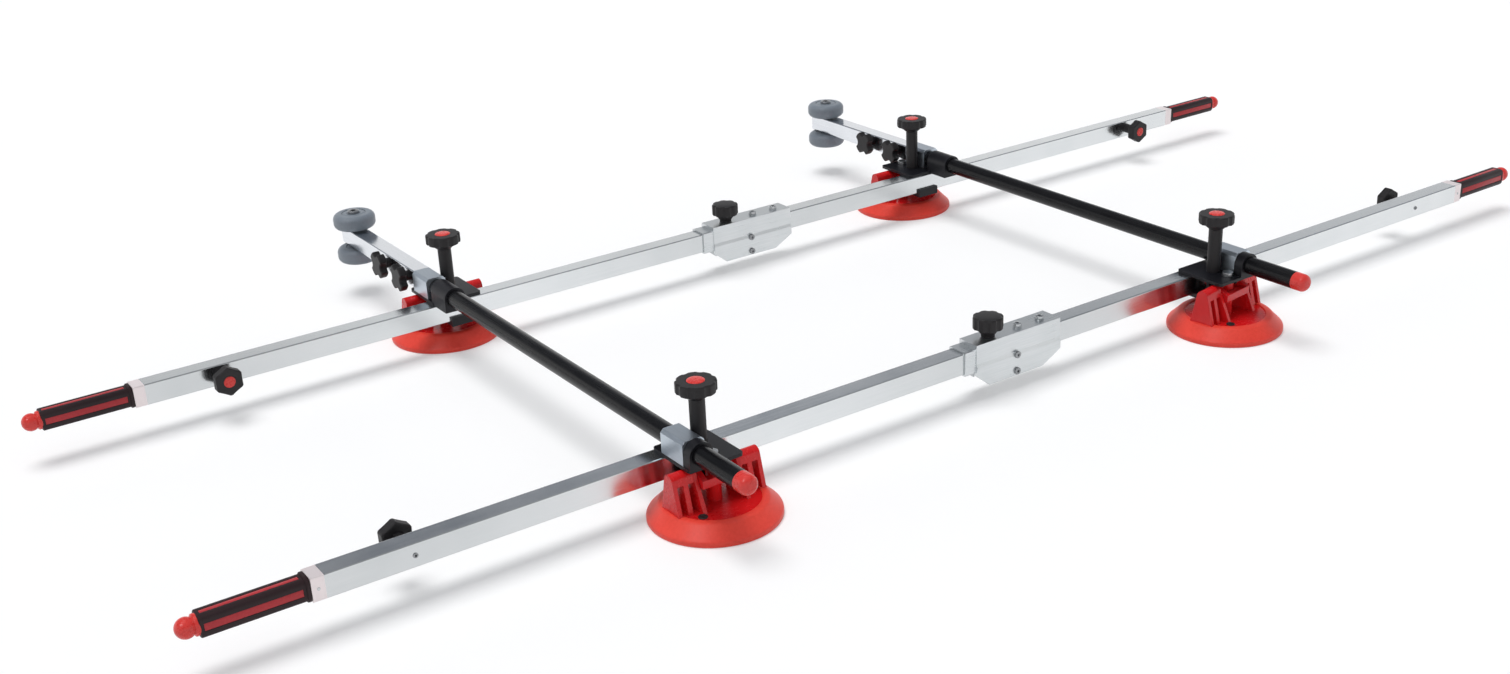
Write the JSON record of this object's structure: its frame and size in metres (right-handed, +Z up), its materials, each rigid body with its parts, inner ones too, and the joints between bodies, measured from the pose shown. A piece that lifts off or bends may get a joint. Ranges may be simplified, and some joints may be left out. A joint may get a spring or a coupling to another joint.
{
  "type": "slab lifter",
  "caption": "Adjustable lifting frame for thin ceramic slabs: twin telescopic rails with grips, clamped cross bars, suction cups and guide wheels.",
  "frame": {"origin": "on the slab plane under the cups, midway between the rails and at the middle of their length", "axes": "+X along the rails, +Y across them towards the wheel arms, +Z up from the slab"},
  "size_m": [2.0624, 1.04, 0.1512],
  "materials": {
    "rail_aluminium": "polished, bright anodised",
    "splice_aluminium": "satin, bright anodised",
    "tube_aluminium": "drawn, plain",
    "sleeve_aluminium": "satin, machined",
    "arm_aluminium": "satin, bright anodised",
    "fastener_steel": "zinc plated",
    "clamp_black": "satin black powder coat",
    "bar_black": "satin black",
    "knob_black": "fine matt texture",
    "grip_black": "soft moulded grip, black with red",
    "cap_red": "glossy",
    "pad_red": "smooth semi gloss",
    "body_red": "glossy",
    "lever_red": "glossy",
    "wheel_grey": "satin moulded"
  },
  "bodies": {
    "far_right_frame": {"far_rail_right": "rail_aluminium", "far_splice": "splice_aluminium", "far_splice_screws": "fastener_steel"},
    "far_left_frame": {"far_rail_left": "rail_aluminium"},
    "near_right_frame": {"near_rail_right": "rail_aluminium", "near_splice": "splice_aluminium", "near_splice_screws": "fastener_steel"},
    "near_left_frame": {"near_rail_left": "rail_aluminium"},
    "left_bar": {"left_cross_bar": "bar_black", "left_bar_cap": "cap_red", "far_left_clamp": "clamp_black", "far_left_bar_sleeve": "sleeve_aluminium"},
    "left_carrier": {"near_left_clamp": "clamp_black", "near_left_bar_sleeve": "sleeve_aluminium"},
    "left_arm": {"left_wheel_arm": "arm_aluminium"},
    "left_upper_roller": {"left_upper_wheel": "wheel_grey"},
    "left_lower_roller": {"left_lower_wheel": "wheel_grey"},
    "left_inner_arm_lock": {"left_inner_arm_knob": "knob_black"},
    "left_outer_arm_lock": {"left_outer_arm_knob": "knob_black"},
    "right_bar": {"right_cross_bar": "bar_black", "right_bar_cap": "cap_red", "far_right_clamp": "clamp_black", "far_right_bar_sleeve": "sleeve_aluminium"},
    "right_carrier": {"near_right_clamp": "clamp_black", "near_right_bar_sleeve": "sleeve_aluminium"},
    "right_arm": {"right_wheel_arm": "arm_aluminium"},
    "right_upper_roller": {"right_upper_wheel": "wheel_grey"},
    "right_lower_roller": {"right_lower_wheel": "wheel_grey"},
    "right_inner_arm_lock": {"right_inner_arm_knob": "knob_black"},
    "right_outer_arm_lock": {"right_outer_arm_knob": "knob_black"},
    "near_splice_lock": {"near_splice_knob": "knob_black"},
    "near_left_handle": {"near_left_handle_tube": "tube_aluminium", "near_left_grip": "grip_black"},
    "near_left_handle_lock": {"near_left_side_knob": "knob_black"},
    "near_left_clamp_lock": {"near_left_clamp_knob": "knob_black"},
    "near_left_cup": {"near_left_cup_body": "body_red", "near_left_cup_pad": "pad_red"},
    "near_left_lever": {"near_left_cup_lever": "lever_red"},
    "near_right_handle": {"near_right_handle_tube": "tube_aluminium", "near_right_grip": "grip_black"},
    "near_right_handle_lock": {"near_right_side_knob": "knob_black"},
    "near_right_clamp_lock": {"near_right_clamp_knob": "knob_black"},
    "near_right_cup": {"near_right_cup_body": "body_red", "near_right_cup_pad": "pad_red"},
    "near_right_lever": {"near_right_cup_lever": "lever_red"},
    "far_splice_lock": {"far_splice_knob": "knob_black"},
    "far_left_handle": {"far_left_handle_tube": "tube_aluminium", "far_left_grip": "grip_black"},
    "far_left_handle_lock": {"far_left_side_knob": "knob_black"},
    "far_left_clamp_lock": {"far_left_clamp_knob": "knob_black"},
    "far_left_cup": {"far_left_cup_body": "body_red", "far_left_cup_pad": "pad_red"},
    "far_left_lever": {"far_left_cup_lever": "lever_red"},
    "far_right_handle": {"far_right_handle_tube": "tube_aluminium", "far_right_grip": "grip_black"},
    "far_right_handle_lock": {"far_right_side_knob": "knob_black"},
    "far_right_clamp_lock": {"far_right_clamp_knob": "knob_black"},
    "far_right_cup": {"far_right_cup_body": "body_red", "far_right_cup_pad": "pad_red"},
    "far_right_lever": {"far_right_cup_lever": "lever_red"}
  },
  "joints": [
    {"name": "far_rail_pull", "type": "slide", "parent": "far_right_frame", "child": "far_left_frame", "axis": [-1, 0, 0], "range_m": [0, 0.045]},
    {"name": "rail_spacing", "type": "slide", "parent": "far_right_frame", "child": "near_right_frame", "axis": [0, 1, 0], "range_m": [-0.06, 0.25]},
    {"name": "near_rail_pull", "type": "slide", "parent": "near_right_frame", "child": "near_left_frame", "axis": [-1, 0, 0], "range_m": [0, 0.045]},
    {"name": "left_bar_slide", "type": "slide", "parent": "far_left_frame", "child": "left_bar", "axis": [1, 0, 0], "range_m": [-0.2, 0.2]},
    {"name": "left_carrier_slide", "type": "slide", "parent": "near_left_frame", "child": "left_carrier", "axis": [1, 0, 0], "range_m": [-0.2, 0.2]},
    {"name": "left_arm_slide", "type": "slide", "parent": "left_bar", "child": "left_arm", "axis": [0, 1, 0], "range_m": [0, 0.08]},
    {"name": "left_upper_wheel_turn", "type": "hinge", "parent": "left_arm", "child": "left_upper_roller", "pos_m": [-0.487, 0.567, 0.0847], "axis": [0, 0, 1], "continuous": true},
    {"name": "left_lower_wheel_turn", "type": "hinge", "parent": "left_arm", "child": "left_lower_roller", "pos_m": [-0.487, 0.567, 0.0847], "axis": [0, 0, 1], "continuous": true},
    {"name": "left_inner_arm_knob_turn", "type": "hinge", "parent": "left_arm", "child": "left_inner_arm_lock", "pos_m": [-0.4995, 0.364, 0.0847], "axis": [-1, 0, 0], "range_deg": [0, 180]},
    {"name": "left_outer_arm_knob_turn", "type": "hinge", "parent": "left_arm", "child": "left_outer_arm_lock", "pos_m": [-0.4995, 0.43, 0.0847], "axis": [-1, 0, 0], "range_deg": [0, 180]},
    {"name": "right_bar_slide", "type": "slide", "parent": "far_right_frame", "child": "right_bar", "axis": [1, 0, 0], "range_m": [-0.15, 0.25]},
    {"name": "right_carrier_slide", "type": "slide", "parent": "near_right_frame", "child": "right_carrier", "axis": [1, 0, 0], "range_m": [-0.15, 0.25]},
    {"name": "right_arm_slide", "type": "slide", "parent": "right_bar", "child": "right_arm", "axis": [0, 1, 0], "range_m": [0, 0.08]},
    {"name": "right_upper_wheel_turn", "type": "hinge", "parent": "right_arm", "child": "right_upper_roller", "pos_m": [0.37, 0.567, 0.0847], "axis": [0, 0, 1], "continuous": true},
    {"name": "right_lower_wheel_turn", "type": "hinge", "parent": "right_arm", "child": "right_lower_roller", "pos_m": [0.37, 0.567, 0.0847], "axis": [0, 0, 1], "continuous": true},
    {"name": "right_inner_arm_knob_turn", "type": "hinge", "parent": "right_arm", "child": "right_inner_arm_lock", "pos_m": [0.3575, 0.364, 0.0847], "axis": [-1, 0, 0], "range_deg": [0, 180]},
    {"name": "right_outer_arm_knob_turn", "type": "hinge", "parent": "right_arm", "child": "right_outer_arm_lock", "pos_m": [0.3575, 0.43, 0.0847], "axis": [-1, 0, 0], "range_deg": [0, 180]},
    {"name": "near_splice_knob_turn", "type": "hinge", "parent": "near_right_frame", "child": "near_splice_lock", "pos_m": [-0.028, -0.286, 0.0742], "axis": [0, 0, 1], "range_deg": [0, 180]},
    {"name": "near_left_handle_slide", "type": "slide", "parent": "near_left_frame", "child": "near_left_handle", "axis": [-1, 0, 0], "range_m": [0, 0.4]},
    {"name": "near_left_side_knob_turn", "type": "hinge", "parent": "near_left_frame", "child": "near_left_handle_lock", "pos_m": [-0.794, -0.2735, 0.0535], "axis": [0, 1, 0], "range_deg": [0, 180]},
    {"name": "near_left_clamp_knob_turn", "type": "hinge", "parent": "left_carrier", "child": "near_left_clamp_lock", "pos_m": [-0.464, -0.31, 0.0712], "axis": [0, 0, 1], "range_deg": [0, 180]},
    {"name": "near_left_cup_swivel", "type": "hinge", "parent": "left_carrier", "child": "near_left_cup", "pos_m": [-0.464, -0.334, 0.0672], "axis": [0, 0, 1], "range_deg": [-20, 20]},
    {"name": "near_left_lever_lift", "type": "hinge", "parent": "near_left_cup", "child": "near_left_lever", "pos_m": [-0.464, -0.334, 0.0577], "axis": [-1, 0, 0], "range_deg": [0, 35]},
    {"name": "near_right_handle_slide", "type": "slide", "parent": "near_right_frame", "child": "near_right_handle", "axis": [1, 0, 0], "range_m": [0, 0.4]},
    {"name": "near_right_side_knob_turn", "type": "hinge", "parent": "near_right_frame", "child": "near_right_handle_lock", "pos_m": [0.794, -0.2735, 0.0535], "axis": [0, 1, 0], "range_deg": [0, 180]},
    {"name": "near_right_clamp_knob_turn", "type": "hinge", "parent": "right_carrier", "child": "near_right_clamp_lock", "pos_m": [0.347, -0.31, 0.0712], "axis": [0, 0, 1], "range_deg": [0, 180]},
    {"name": "near_right_cup_swivel", "type": "hinge", "parent": "right_carrier", "child": "near_right_cup", "pos_m": [0.347, -0.334, 0.0672], "axis": [0, 0, 1], "range_deg": [-28, 12]},
    {"name": "near_right_lever_lift", "type": "hinge", "parent": "near_right_cup", "child": "near_right_lever", "pos_m": [0.347, -0.334, 0.0577], "axis": [-0.9903, -0.1392, 0], "range_deg": [0, 35]},
    {"name": "far_splice_knob_turn", "type": "hinge", "parent": "far_right_frame", "child": "far_splice_lock", "pos_m": [-0.028, 0.286, 0.0742], "axis": [0, 0, 1], "range_deg": [0, 180]},
    {"name": "far_left_handle_slide", "type": "slide", "parent": "far_left_frame", "child": "far_left_handle", "axis": [-1, 0, 0], "range_m": [0, 0.4]},
    {"name": "far_left_side_knob_turn", "type": "hinge", "parent": "far_left_frame", "child": "far_left_handle_lock", "pos_m": [-0.794, 0.2735, 0.0535], "axis": [0, -1, 0], "range_deg": [0, 180]},
    {"name": "far_left_clamp_knob_turn", "type": "hinge", "parent": "left_bar", "child": "far_left_clamp_lock", "pos_m": [-0.464, 0.31, 0.0712], "axis": [0, 0, 1], "range_deg": [0, 180]},
    {"name": "far_left_cup_swivel", "type": "hinge", "parent": "left_bar", "child": "far_left_cup", "pos_m": [-0.464, 0.334, 0.0672], "axis": [0, 0, 1], "range_deg": [-20, 20]},
    {"name": "far_left_lever_lift", "type": "hinge", "parent": "far_left_cup", "child": "far_left_lever", "pos_m": [-0.464, 0.334, 0.0577], "axis": [1, 0, 0], "range_deg": [0, 35]},
    {"name": "far_right_handle_slide", "type": "slide", "parent": "far_right_frame", "child": "far_right_handle", "axis": [1, 0, 0], "range_m": [0, 0.4]},
    {"name": "far_right_side_knob_turn", "type": "hinge", "parent": "far_right_frame", "child": "far_right_handle_lock", "pos_m": [0.794, 0.2735, 0.0535], "axis": [0, -1, 0], "range_deg": [0, 180]},
    {"name": "far_right_clamp_knob_turn", "type": "hinge", "parent": "right_bar", "child": "far_right_clamp_lock", "pos_m": [0.347, 0.31, 0.0712], "axis": [0, 0, 1], "range_deg": [0, 180]},
    {"name": "far_right_cup_swivel", "type": "hinge", "parent": "right_bar", "child": "far_right_cup", "pos_m": [0.347, 0.334, 0.0672], "axis": [0, 0, 1], "range_deg": [-20, 20]},
    {"name": "far_right_lever_lift", "type": "hinge", "parent": "far_right_cup", "child": "far_right_lever", "pos_m": [0.347, 0.334, 0.0577], "axis": [1, 0, 0], "range_deg": [0, 35]}
  ],
  "couplings": [
    {"joint": "near_rail_pull", "follows": "far_rail_pull", "ratio": 1},
    {"joint": "left_carrier_slide", "follows": "left_bar_slide", "ratio": 1},
    {"joint": "right_carrier_slide", "follows": "right_bar_slide", "ratio": 1}
  ]
}
